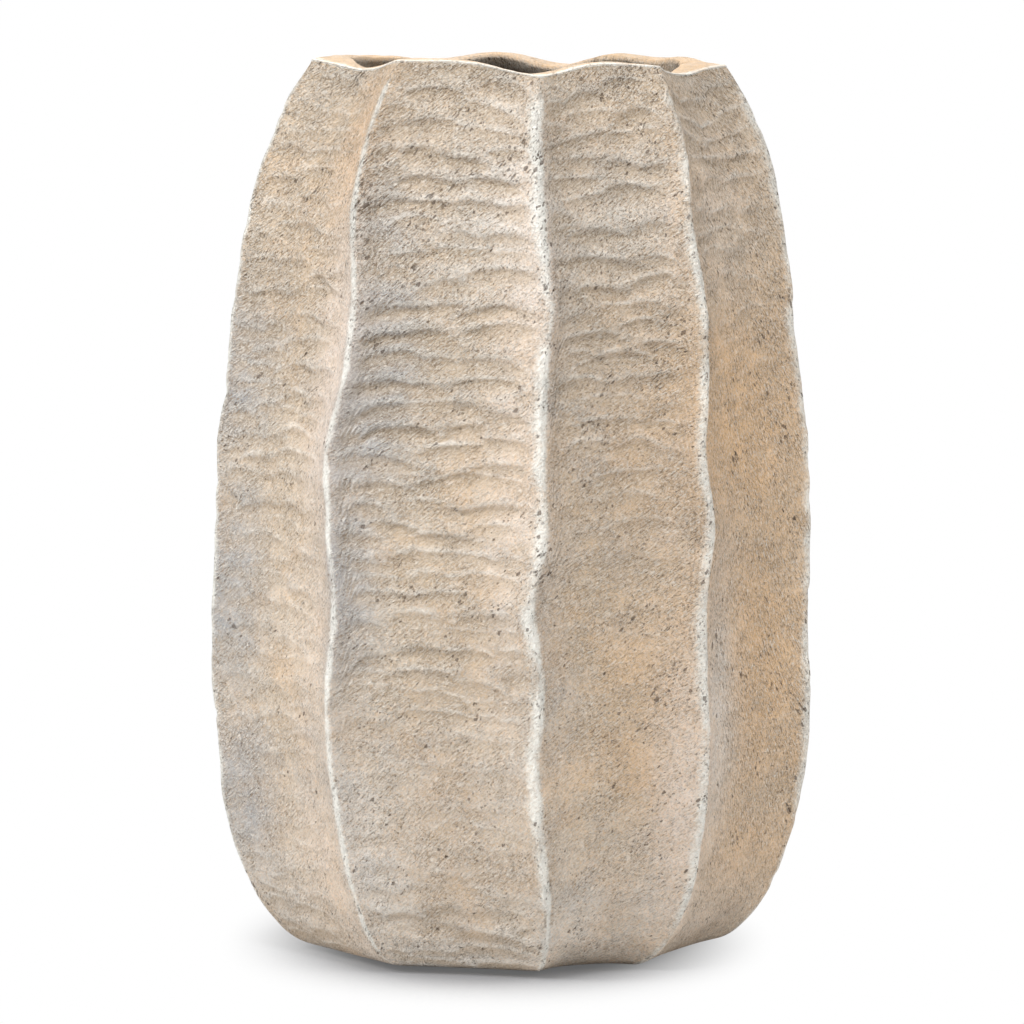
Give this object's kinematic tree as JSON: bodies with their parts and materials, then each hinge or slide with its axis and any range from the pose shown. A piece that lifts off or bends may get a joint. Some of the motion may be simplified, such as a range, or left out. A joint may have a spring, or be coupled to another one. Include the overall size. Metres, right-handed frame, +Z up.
{
  "type": "tall planter",
  "caption": "Tall barrel-shaped clay floor planter with wandering upright ribs, scooped panels, a wavy rim, and a drain hole closed by a lift-out stopper.",
  "frame": {"origin": "on the floor, under the middle of the pot", "axes": "+Z up towards the mouth; the front, with the ribs that the picture shows, faces -Y"},
  "size_m": [0.4066, 0.4058, 0.6037],
  "materials": {
    "clay": "rough unglazed",
    "rubber": "matte"
  },
  "bodies": {
    "pot": {"planter_body": "clay", "foot_pad_1": "rubber", "foot_pad_2": "rubber", "foot_pad_3": "rubber", "foot_pad_4": "rubber", "foot_pad_5": "rubber", "foot_pad_6": "rubber"},
    "plug": {"drain_plug": "rubber"}
  },
  "joints": [
    {"name": "drain_plug_lift", "type": "slide", "parent": "pot", "child": "plug", "axis": [0, 0, 1], "range_m": [0, 0.61]}
  ]
}
